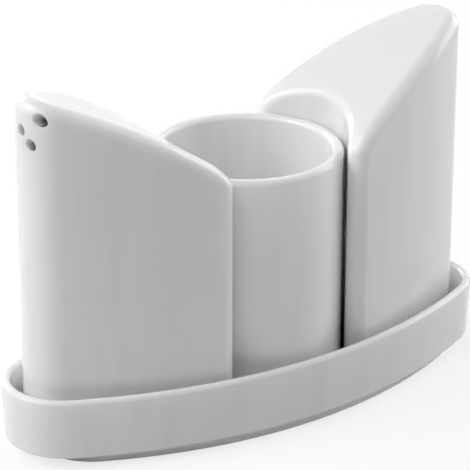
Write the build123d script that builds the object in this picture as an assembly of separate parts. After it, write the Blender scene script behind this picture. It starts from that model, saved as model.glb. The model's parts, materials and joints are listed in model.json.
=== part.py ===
from build123d import *
import os
from math import cos, hypot, radians, sin, sqrt

os.makedirs("parts", exist_ok=True)

# A porcelain table set in millimetres, +Z up, standing on Z = 0.
# An oval dish carries two shakers along X, with a round toothpick cup between them.

# Toothpick cup
cup_radius = 22.5
cup_height = 56.0
cup_wall = 2.8
cup_base = 4.0
cup_inner_round = 5.0
cup_outer_round = 1.2
cup_lip_flat = 0.1
cup_foot_width = 3.0
cup_foot_depth = 0.8

# Oval that both shakers are cut from: half length, radius of its pointed ends, and how far its sides
# stay inside the radius of the shakers' bites
set_half_length = 58.7
set_tip_radius = 9.5
set_side_inset = 0.7

# Clearances
nest_gap = 0.9
rim_end_gap = 2.9
rim_side_gap = 1.2
stopper_clearance = 0.06

# Dish
rim_thickness = 2.1
rim_flat = 0.1
dish_depth = 11.4
dish_floor = 3.0
dish_lean = 0.6
dish_inner_round = 1.3
dish_outer_round = 0.9
foot_height = 2.5
foot_width = 3.2
foot_end_inset = 7.2
foot_side_inset = 2.1
foot_round = 0.6

# Shakers
shaker_height = 80.4
bite_height = 63.3
top_radius = 148.0
horn_drop_x = 14.6
horn_drop_radius = 15.0
shaker_wall = 3.0
shaker_base = 3.0
horn_radius = 3.0
top_round = 2.9
bottom_round = 1.2
cavity_corner_round = 2.0
shaker_foot_width = 3.0
shaker_foot_depth = 2.2

# Stopper in the fill hole of each shaker's base. Its flange is the largest circle that the recess
# under the base takes, less a gap.
stopper_wall_gap = 1.3
stopper_flange_width = 2.4
stopper_flange_thickness = 1.3
stopper_reach = 2.2
stopper_skin = 1.5
grip_depth = 3.4
grip_thickness = 2.0

# Pour holes: angle from the outer tip round the tip's centre, depth below the shaker's highest point,
# radius. They all run along the shaker's length and slope down into it.
salt_holes = [(33.1, 4.6, 1.3), (18.4, 10.7, 1.2), (0.6, 8.0, 1.2)]
pepper_holes = [(14.0, 7.2, 1.2), (-14.0, 7.2, 1.2)]
hole_tilt = 20.0
hole_round = 0.3

seat = foot_height + dish_floor
rim_top = seat + dish_depth
cup_bay_radius = cup_radius + nest_gap
set_half_width = cup_bay_radius - set_side_inset


def side_arc_radius(half_length, half_width, tip_radius):
    """Radius of a pointed oval's wide side arcs, whose centres lie across the X axis."""
    centre_x = half_length - tip_radius
    return (centre_x**2 + half_width**2 - tip_radius**2) / (2 * (half_width - tip_radius))


def lens(half_length, half_width, tip_radius):
    """Pointed oval: two wide side arcs and two tip arcs, each tangent to the next."""
    centre_x = half_length - tip_radius
    side_radius = side_arc_radius(half_length, half_width, tip_radius)
    centre_y = side_radius - half_width
    reach = side_radius - tip_radius
    join_x = centre_x + tip_radius * centre_x / reach
    join_y = tip_radius * centre_y / reach
    arcs = [
        ThreePointArc((-join_x, join_y), (0, half_width), (join_x, join_y)),
        ThreePointArc((join_x, join_y), (half_length, 0), (join_x, -join_y)),
        ThreePointArc((join_x, -join_y), (0, -half_width), (-join_x, -join_y)),
        ThreePointArc((-join_x, -join_y), (-half_length, 0), (-join_x, join_y)),
    ]
    return make_face(arcs)


def set_lens(grow):
    """The set's shared oval, moved outwards by grow."""
    return lens(set_half_length + grow, set_half_width + grow, set_tip_radius + grow)


def shaker_plan(inset, corner):
    """Plan of the +X shaker: the oval's end with a bite for the cup and rounded horns."""
    end_half = Pos(set_half_length / 2, 0) * Rectangle(set_half_length, 2 * set_half_width)
    bite = Circle(cup_bay_radius + inset)
    half = (set_lens(-inset) & end_half) - bite
    horns = half.vertices().sort_by(Axis.X)[:2]
    return fillet(horns, corner)


def base_circle():
    """Centre X and radius of the largest circle in the recess under a shaker's base."""
    side_radius = side_arc_radius(set_half_length, set_half_width, set_tip_radius)
    centre_y = side_radius - set_half_width
    near = cup_bay_radius + shaker_foot_width
    reach = near + side_radius - shaker_foot_width
    centre_x = (reach**2 - centre_y**2) / (2 * reach)
    return centre_x, centre_x - near


def under_top(lower):
    """Everything below the shaker's domed top, which drops away at the horns, after it sinks by lower."""
    near = Vector(cup_bay_radius, bite_height)
    far = Vector(set_half_length, shaker_height)
    chord = far - near
    arm = sqrt(top_radius**2 - (chord.length / 2) ** 2)
    dome = (near + far) / 2 + Vector(chord.Y, -chord.X).normalized() * arm
    drop_x = horn_drop_x + horn_drop_radius
    spread = top_radius - horn_drop_radius
    drop = Vector(drop_x, dome.Y + sqrt(spread**2 - (dome.X - drop_x) ** 2))
    toward_drop = (drop - dome).normalized()
    toward_middle = (toward_drop + Vector(-1, 0)).normalized()
    toward_far = (Vector(set_half_length, shaker_height) - dome).normalized()
    toward_mean = (toward_drop + toward_far).normalized()
    radius = top_radius - lower
    drop_radius = horn_drop_radius - lower
    side = drop + Vector(-drop_radius, 0)
    joint = dome + toward_drop * radius
    tip = dome + toward_far * radius
    corner = Vector(tip.X, 0)
    outline = [
        Line((side.X, 0), side),
        ThreePointArc(side, drop + toward_middle * drop_radius, joint),
        ThreePointArc(joint, dome + toward_mean * radius, tip),
        Line(tip, corner),
        Line(corner, (side.X, 0)),
    ]
    return extrude(Plane.XZ * make_face(outline), amount=set_half_width, both=True)


def shaker(holes):
    """The +X shaker, standing on Z = 0: a hollow shell with a slanted top, a fill hole and pour holes."""
    body = extrude(shaker_plan(0, horn_radius), amount=shaker_height) & under_top(0)
    top = body.faces().sort_by(Axis.Z)[-1]
    body = fillet(top.edges().filter_by(Axis.Y, reverse=True), top_round)
    floor = body.faces().sort_by(Axis.Z)[0]
    body = fillet(floor.edges(), bottom_round)
    recess = extrude(shaker_plan(shaker_foot_width, cavity_corner_round), amount=shaker_foot_depth)
    ledge = shaker_foot_depth + shaker_base
    cavity = extrude(shaker_plan(shaker_wall, cavity_corner_round), amount=shaker_height - ledge)
    cavity = Pos(0, 0, ledge) * cavity & under_top(shaker_wall)
    fill = Pos(fill_x, 0, ledge / 2) * Cylinder(fill_radius, 2 * ledge)
    body = body - recess - cavity - fill
    for angle, depth, radius in holes:
        body = body - pour_hole(angle, depth, radius)
    radii = [radius for angle, depth, radius in holes]
    bores = body.faces().filter_by(GeomType.CYLINDER).filter_by(lambda face: face.radius in radii)
    return fillet(bores.edges().filter_by(is_mouth), hole_round)


def is_mouth(edge):
    """Whether an edge of a pour hole lies on the tip's outside."""
    middle = edge.center()
    tip_x = set_half_length - set_tip_radius
    curved = edge.geom_type != GeomType.LINE
    return curved and hypot(middle.X - tip_x, middle.Y) > set_tip_radius - shaker_wall / 2


def pour_hole(angle, depth, radius):
    """A straight hole through the tip's wall, parallel to the XZ plane and down into the cavity."""
    turn = radians(angle)
    mouth_x = set_half_length - set_tip_radius * (1 - cos(turn))
    mouth = Pos(mouth_x, set_tip_radius * sin(turn), shaker_height - depth)
    return mouth * Rot(0, 90 - hole_tilt, 0) * Cylinder(radius, 2 * set_tip_radius)


def stopper():
    """Soft plug for the fill hole, with a flange below the base and a grip rib in its hollow."""
    top = shaker_base + stopper_reach
    plug = Pos(0, 0, top / 2) * Cylinder(fill_radius - stopper_clearance, top)
    flange = Pos(0, 0, -stopper_flange_thickness / 2) * Cylinder(flange_radius, stopper_flange_thickness)
    hollow_radius = fill_radius - stopper_clearance - stopper_skin
    mouth = -stopper_flange_thickness
    hollow = Pos(0, 0, mouth + grip_depth / 2) * Cylinder(hollow_radius, grip_depth)
    rib = Pos(0, 0, mouth + grip_depth / 2) * Box(2 * hollow_radius, grip_thickness, grip_depth)
    return plug + flange - (hollow - rib)


def dish_oval(grow):
    """The dish's inside edge, which clears the shakers, moved outwards by grow."""
    half_length = set_half_length + rim_end_gap + grow
    half_width = set_half_width + rim_side_gap + grow
    return lens(half_length, half_width, set_tip_radius + rim_end_gap + grow)


def dish():
    """Oval dish on a foot ring, with a rounded rim and walls that lean outwards."""
    body_height = rim_top - foot_height
    outer_low = Pos(0, 0, foot_height) * dish_oval(rim_thickness - dish_lean)
    outer_high = Pos(0, 0, rim_top) * dish_oval(rim_thickness)
    outer = loft([outer_low, outer_high], ruled=True)
    floor_lean = dish_lean * (1 - dish_floor / body_height)
    inner_low = Pos(0, 0, seat) * dish_oval(-floor_lean)
    inner_high = Pos(0, 0, rim_top) * dish_oval(0)
    inner = loft([inner_low, inner_high], ruled=True)
    inner = fillet(inner.faces().sort_by(Axis.Z)[0].edges(), dish_inner_round)
    body = outer - inner
    body = fillet(body.faces().sort_by(Axis.Z)[-1].edges(), (rim_thickness - rim_flat) / 2)
    body = fillet(body.faces().sort_by(Axis.Z)[0].edges(), dish_outer_round)
    foot_length = set_half_length + rim_end_gap + rim_thickness - foot_end_inset
    foot_breadth = set_half_width + rim_side_gap + rim_thickness - foot_side_inset
    foot_tip = set_tip_radius + rim_end_gap + rim_thickness
    ring = lens(foot_length, foot_breadth, foot_tip)
    ring = ring - lens(foot_length - foot_width, foot_breadth - foot_width, foot_tip - foot_width)
    foot = extrude(ring, amount=foot_height)
    foot = fillet(foot.faces().sort_by(Axis.Z)[0].edges(), foot_round)
    return body + foot


def cup():
    """Straight round cup with a rounded lip and a shallow ring to stand on."""
    outer = Pos(0, 0, cup_height / 2) * Cylinder(cup_radius, cup_height)
    depth = cup_height - cup_base
    inner = Pos(0, 0, cup_base + depth / 2) * Cylinder(cup_radius - cup_wall, depth)
    inner = fillet(inner.edges().sort_by(Axis.Z)[0], cup_inner_round)
    recess = Pos(0, 0, cup_foot_depth / 2) * Cylinder(cup_radius - cup_foot_width, cup_foot_depth)
    body = outer - inner
    body = fillet(body.faces().sort_by(Axis.Z)[-1].edges(), (cup_wall - cup_lip_flat) / 2)
    body = fillet(body.edges().sort_by(Axis.Z)[0], cup_outer_round)
    return body - recess


def save(node, shape):
    export_step(shape, f"parts/{node}.step")


fill_x, base_radius = base_circle()
flange_radius = base_radius - stopper_wall_gap
fill_radius = flange_radius - stopper_flange_width
seated = Pos(0, 0, seat)
flipped = Rot(0, 0, 180)
plugged = seated * Pos(fill_x, 0, shaker_foot_depth)

save("dish", dish())
save("toothpick_cup", seated * cup())
save("pepper_shaker", seated * shaker(pepper_holes))
save("salt_shaker", flipped * seated * shaker(salt_holes))
save("pepper_stopper", plugged * stopper())
save("salt_stopper", flipped * plugged * stopper())
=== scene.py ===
import json
from math import cos, radians, sin

import bpy
from mathutils import Matrix, Vector

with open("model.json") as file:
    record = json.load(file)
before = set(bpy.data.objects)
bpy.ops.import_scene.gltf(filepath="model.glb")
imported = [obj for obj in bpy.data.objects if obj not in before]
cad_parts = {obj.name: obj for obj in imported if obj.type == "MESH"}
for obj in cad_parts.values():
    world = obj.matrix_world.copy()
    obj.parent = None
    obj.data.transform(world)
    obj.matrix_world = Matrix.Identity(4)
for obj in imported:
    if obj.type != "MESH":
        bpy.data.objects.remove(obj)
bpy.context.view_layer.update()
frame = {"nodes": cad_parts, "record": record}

MM = 0.001

# Camera of the photograph: pixels, radians and metres
PHOTO_SIDE = 470
SENSOR_WIDTH = 36.0
FOCAL_PIXELS = 2676.4
TURN = 0.60150
RAISE = 0.40531
ROLL = 0.00204
TARGET_RIGHT = -1.481 * MM
TARGET_UP = 38.276 * MM
DISTANCE = 619.87 * MM
CENTRE_X = 238.94
CENTRE_Y = 238.75
NEAREST = 10 * MM

# Colours, linear
WHITE = (1, 1, 1, 1)
GLAZE_PALE = (0.944, 0.943, 0.943, 1)
GLAZE_SHADE = (0.932, 0.932, 0.933, 1)
# Painted reflection: the darker streak colour stands for the floor mirrored in the upright glaze
GLAZE_PAINTED_REFLECTION = (0.877, 0.876, 0.877, 1)
SPECK = (0.62, 0.59, 0.53, 1)
BISCUIT_SHADE = (0.80, 0.785, 0.75, 1)
BISCUIT_PALE = (0.86, 0.85, 0.82, 1)
RUBBER_SHADE = (0.74, 0.74, 0.71, 1)
RUBBER_PALE = (0.79, 0.79, 0.77, 1)
FLOOR_LIT = (0.74, 0.74, 0.74, 1)
FLOOR_SEEN = (0.32, 0.32, 0.32, 1)

# Scales of the noises, in cells for each metre
CLOUDS = 45.0
WAVES = 60.0
SPECKED_PATCHES = 95.0
FILM = 130.0
STREAKS = 150.0
SPECKS = 210.0
RIPPLES = 420.0
GLAZE_EDGE = 700.0
BISCUIT_GRAIN = 5200.0
RUBBER_CLOUDS = 160.0
RUBBER_GRAIN = 2600.0

# Detail of the noises, in octaves
SMOOTH, PLAIN, RICH = 1.0, 2.0, 3.0

# Values of each noise at which its effect starts and is complete
CLOUD_SPAN = (0.35, 0.65)
PAINTED_STREAK_SPAN = (0.4, 0.7)
SPECKED_SPAN = (0.62, 0.7)
FILM_SPAN = (0.3, 0.7)

# Porcelain. The lean of the streaks is the upward part of the normal at which the upright streaks, a
# painted reflection of the floor in the upright glaze, start to fade, and at which they are gone.
# SPECK_RADIUS is in cells, each relief in parts of the bump's depth, and
# TRANSLUCENT_SPREAD the part of the depth that red, green and blue light reach.
STREAK_STRETCH = (1.0, 1.0, 0.14)
PAINTED_STREAK_AMOUNT = 0.6
PAINTED_STREAK_LEAN = (0.1, 0.4)
SPECK_RADIUS = (0.035, 0.06)
SPECK_AMOUNT = 0.22
BARE_HEIGHT = 0.1 * MM
BARE_WANDER = 0.4 * MM
GLAZE_ROUGHNESS = (0.075, 0.125)
BISCUIT_ROUGHNESS = 0.62
STREAK_RELIEF = 0.4
RIPPLE_RELIEF = 0.02
GRAIN_RELIEF = 0.03
GLAZE_RELIEF_DEPTH = 0.6 * MM
GLAZE_RELIEF_STRENGTH = 0.25
GLAZE_IOR = 1.5
TRANSLUCENCY = 0.5
TRANSLUCENT_DEPTH = 4 * MM
TRANSLUCENT_SPREAD = (1.0, 1.0, 1.0)

# Rubber
RUBBER_ROUGHNESS = 0.5
RUBBER_RELIEF_DEPTH = 0.05 * MM
RUBBER_RELIEF_STRENGTH = 0.4

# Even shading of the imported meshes
WELD_DISTANCE = 0.002 * MM
LARGE_FACE_WEIGHT = 80

# Floor: half its side, and its own glow where the set stands and far from it
FLOOR_HALF_SIDE = 3.0
GLOW_DISTANCES = (0.3, 2.0)
GLOW = (0.7, 1.0)

# Softboxes: azimuth and elevation in degrees, width, height, power in watts. The wide ones light the
# set evenly. The smaller ones draw the highlights along the glazed edges.
SOFTBOXES = {
    "light_left": (180.0, 45.0, 1.3, 0.9, 8.2),
    "light_top": (190.0, 74.0, 0.15, 0.2, 0.25),
    "light_back_left": (150.0, 35.0, 0.9, 0.9, 6.6),
    "light_back": (90.0, 18.0, 0.6, 0.6, 5.6),
    "light_back_right": (45.0, 15.0, 0.7, 0.7, 0.9),
    "light_right_low": (358.0, 17.0, 1.0, 1.0, 9.4),
    "light_right": (0.0, 50.0, 1.4, 1.4, 2.2),
    "light_front_right": (320.0, 40.0, 1.3, 1.3, 3.0),
}
SOFTBOX_DISTANCE = 1.3
SOFTBOX_AIM = (0, 0, 40 * MM)

# Places of outputs and inputs on Blender's nodes
COORDINATE_NORMAL, COORDINATE_OBJECT = 1, 3
AXIS_Z = 2
CAMERA_RAY, GLOSSY_RAY, TRANSMISSION_RAY = 0, 3, 6
LENGTH_VALUE = 1
FACTOR, NUMBER_A, NUMBER_B, COLOUR_A, COLOUR_B, COLOUR_OUT = 0, 2, 3, 6, 7, 2


class Nodes:
    """Short calls for building one node tree."""

    def __init__(self, tree):
        self.tree = tree

    def add(self, kind, out=0, inputs=None, **settings):
        node = self.tree.nodes.new(kind)
        for name, value in settings.items():
            setattr(node, name, value)
        for key, value in (inputs or {}).items():
            if isinstance(value, bpy.types.NodeSocket):
                self.tree.links.new(value, node.inputs[key])
            else:
                node.inputs[key].default_value = value
        return node.outputs[out]

    def math(self, operation, a, b=0.0, c=0.0):
        return self.add("ShaderNodeMath", inputs={0: a, 1: b, 2: c}, operation=operation)

    def coordinate(self, kind=COORDINATE_OBJECT):
        return self.add("ShaderNodeTexCoord", out=kind)

    def upward(self, vector):
        return self.add("ShaderNodeSeparateXYZ", out=AXIS_Z, inputs={0: vector})

    def noise(self, where, scale, detail=PLAIN):
        return self.add("ShaderNodeTexNoise", inputs={"Vector": where, "Scale": scale, "Detail": detail})

    def span(self, value, low, high, to_low=0.0, to_high=1.0):
        """Maps low..high to to_low..to_high with soft ends."""
        return self.add("ShaderNodeMapRange", inputs={0: value, 1: low, 2: high, 3: to_low, 4: to_high},
                        interpolation_type="SMOOTHSTEP")

    def mix(self, factor, a, b):
        return self.add("ShaderNodeMix", out=COLOUR_OUT, data_type="RGBA",
                        inputs={FACTOR: factor, COLOUR_A: a, COLOUR_B: b})

    def bump(self, height, depth, strength):
        return self.add("ShaderNodeBump",
                        inputs={"Strength": strength, "Distance": depth, "Height": height})

    def seen_directly(self):
        """1 for camera, mirror and see-through rays, 0 for the rays that carry light to the object."""
        camera, glossy, through = (self.add("ShaderNodeLightPath", out=kind)
                                   for kind in (CAMERA_RAY, GLOSSY_RAY, TRANSMISSION_RAY))
        return self.math("MAXIMUM", self.math("MAXIMUM", camera, glossy), through)

    def finish(self, shader, output_kind="ShaderNodeOutputMaterial"):
        output = self.tree.nodes.new(output_kind)
        self.tree.links.new(shader, output.inputs["Surface"])


def empty_tree(owner):
    """The owner's node tree, cleared. The owner is a material or a world."""
    owner.use_nodes = True
    owner.node_tree.nodes.clear()
    return Nodes(owner.node_tree)


def make_camera():
    data = bpy.data.cameras.new("camera")
    data.sensor_width = SENSOR_WIDTH
    data.lens = FOCAL_PIXELS / PHOTO_SIDE * SENSOR_WIDTH
    data.shift_x = (PHOTO_SIDE / 2 - CENTRE_X) / PHOTO_SIDE
    data.shift_y = (CENTRE_Y - PHOTO_SIDE / 2) / PHOTO_SIDE
    data.clip_start = NEAREST
    back = Vector((-sin(TURN) * cos(RAISE), -cos(TURN) * cos(RAISE), sin(RAISE)))
    right = Vector((cos(TURN), -sin(TURN), 0))
    up = back.cross(right)
    place = right * TARGET_RIGHT + Vector((0, 0, TARGET_UP)) + back * DISTANCE
    turned = Matrix((right, up, back)).transposed() @ Matrix.Rotation(ROLL, 3, "Z")
    camera = bpy.data.objects.new("camera", data)
    camera.matrix_world = Matrix.Translation(place) @ turned.to_4x4()
    bpy.context.scene.collection.objects.link(camera)
    bpy.context.scene.camera = camera


def glaze_colour_with_painted_streaks(n, where, drawn):
    """Fired white with faint clouds, darker upright streaks on upright faces that are a painted
    reflection of the floor, and a few pale specks.
    """
    clouds = n.span(n.noise(where, CLOUDS, RICH), *CLOUD_SPAN)
    tone = n.mix(clouds, GLAZE_PALE, GLAZE_SHADE)
    # Painted reflection of the floor: darker upright streaks on upright faces, fading where the face
    # leans upward
    painted_streak = n.span(n.noise(drawn, STREAKS), *PAINTED_STREAK_SPAN)
    lean = n.math("ABSOLUTE", n.upward(n.coordinate(COORDINATE_NORMAL)))
    upright = n.span(lean, *PAINTED_STREAK_LEAN, PAINTED_STREAK_AMOUNT, 0.0)
    tone = n.mix(n.math("MULTIPLY", painted_streak, upright), tone, GLAZE_PAINTED_REFLECTION)
    spots = n.add("ShaderNodeTexVoronoi", inputs={"Vector": where, "Scale": SPECKS})
    chosen = n.span(n.noise(where, SPECKED_PATCHES, SMOOTH), *SPECKED_SPAN)
    speck = n.math("MULTIPLY", n.span(spots, *SPECK_RADIUS, 1.0, 0.0), chosen)
    return n.mix(n.math("MULTIPLY", speck, SPECK_AMOUNT), tone, SPECK)


def porcelain(name, foot):
    """White porcelain under a clear gloss glaze, left bare where the piece stands on its foot."""
    material = bpy.data.materials.new("glazed_porcelain_" + name)
    n = empty_tree(material)
    where = n.coordinate()
    drawn = n.add("ShaderNodeMapping", inputs={"Vector": where, "Scale": STREAK_STRETCH})
    edge = n.math("MULTIPLY_ADD", n.noise(where, GLAZE_EDGE), BARE_WANDER, foot + BARE_HEIGHT)
    bare = n.math("LESS_THAN", n.upward(where), edge)
    grain = n.noise(where, BISCUIT_GRAIN)
    biscuit = n.mix(grain, BISCUIT_SHADE, BISCUIT_PALE)
    colour = n.mix(bare, glaze_colour_with_painted_streaks(n, where, drawn), biscuit)
    film = n.span(n.noise(where, FILM, RICH), *FILM_SPAN, *GLAZE_ROUGHNESS)
    roughness = n.add("ShaderNodeMix", data_type="FLOAT",
                      inputs={FACTOR: bare, NUMBER_A: film, NUMBER_B: BISCUIT_ROUGHNESS})
    waves = n.noise(where, WAVES, SMOOTH)
    relief = n.math("MULTIPLY_ADD", n.noise(drawn, STREAKS), STREAK_RELIEF, waves)
    relief = n.math("MULTIPLY_ADD", n.noise(where, RIPPLES), RIPPLE_RELIEF, relief)
    relief = n.math("MULTIPLY_ADD", n.math("MULTIPLY", bare, grain), GRAIN_RELIEF, relief)
    shader = n.add("ShaderNodeBsdfPrincipled", inputs={
        "Base Color": colour,
        "Roughness": roughness,
        "IOR": GLAZE_IOR,
        "Normal": n.bump(relief, GLAZE_RELIEF_DEPTH, GLAZE_RELIEF_STRENGTH),
        "Subsurface Weight": TRANSLUCENCY,
        "Subsurface Radius": TRANSLUCENT_SPREAD,
        "Subsurface Scale": TRANSLUCENT_DEPTH,
    })
    n.finish(shader)
    return material


def rubber():
    """Milky soft elastomer."""
    material = bpy.data.materials.new("milky_rubber")
    n = empty_tree(material)
    where = n.coordinate()
    grain = n.noise(where, RUBBER_GRAIN)
    shader = n.add("ShaderNodeBsdfPrincipled", inputs={
        "Base Color": n.mix(n.noise(where, RUBBER_CLOUDS, RICH), RUBBER_SHADE, RUBBER_PALE),
        "Roughness": RUBBER_ROUGHNESS,
        "Normal": n.bump(grain, RUBBER_RELIEF_DEPTH, RUBBER_RELIEF_STRENGTH),
    })
    n.finish(shader)
    return material


def dress():
    """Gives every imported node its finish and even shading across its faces."""
    soft = rubber()
    slots = {part["node"]: part["material_slot"] for part in frame["record"]["subparts"]}
    for name, node in frame["nodes"].items():
        foot = min(vertex.co.z for vertex in node.data.vertices)
        finish = soft if slots[name] == "stopper" else porcelain(name, foot)
        for slot in node.material_slots:
            slot.material = finish
        weld = node.modifiers.new("weld", "WELD")
        weld.merge_threshold = WELD_DISTANCE
        shade = node.modifiers.new("shade", "WEIGHTED_NORMAL")
        shade.keep_sharp = False
        shade.weight = LARGE_FACE_WEIGHT


def make_floor():
    """Pale floor that keeps the set's shadow and fades to white far away."""
    data = bpy.data.meshes.new("floor")
    side = FLOOR_HALF_SIDE
    corners = [(-side, -side, 0), (side, -side, 0), (side, side, 0), (-side, side, 0)]
    data.from_pydata(corners, [], [(0, 1, 2, 3)])
    floor = bpy.data.objects.new("floor", data)
    bpy.context.scene.collection.objects.link(floor)
    material = bpy.data.materials.new("floor")
    n = empty_tree(material)
    seen = n.seen_directly()
    plain = n.add("ShaderNodeBsdfDiffuse", inputs={"Color": n.mix(seen, FLOOR_LIT, FLOOR_SEEN)})
    away = n.add("ShaderNodeVectorMath", out=LENGTH_VALUE, operation="LENGTH",
                 inputs={0: n.coordinate()})
    strength = n.math("MULTIPLY", seen, n.span(away, *GLOW_DISTANCES, *GLOW))
    glow = n.add("ShaderNodeEmission", inputs={"Color": WHITE, "Strength": strength})
    n.finish(n.add("ShaderNodeAddShader", inputs={0: plain, 1: glow}))
    data.materials.append(material)


def make_lights():
    for name, (azimuth, elevation, width, height, power) in SOFTBOXES.items():
        data = bpy.data.lights.new(name, "AREA")
        data.shape = "RECTANGLE"
        data.size = width
        data.size_y = height
        data.energy = power
        light = bpy.data.objects.new(name, data)
        turn, rise = radians(azimuth), radians(elevation)
        away = Vector((cos(turn) * cos(rise), sin(turn) * cos(rise), sin(rise)))
        facing = away.to_track_quat("Z", "Y").to_matrix().to_4x4()
        place = Vector(SOFTBOX_AIM) + away * SOFTBOX_DISTANCE
        light.matrix_world = Matrix.Translation(place) @ facing
        bpy.context.scene.collection.objects.link(light)


def make_world():
    """White where it is seen or mirrored, and no light of its own on the set."""
    world = bpy.data.worlds.new("world")
    n = empty_tree(world)
    sky = n.add("ShaderNodeBackground", inputs={"Color": WHITE, "Strength": n.seen_directly()})
    n.finish(sky, "ShaderNodeOutputWorld")
    bpy.context.scene.world = world


make_camera()
dress()
make_floor()
make_lights()
make_world()
bpy.context.scene.view_settings.view_transform = "Standard"
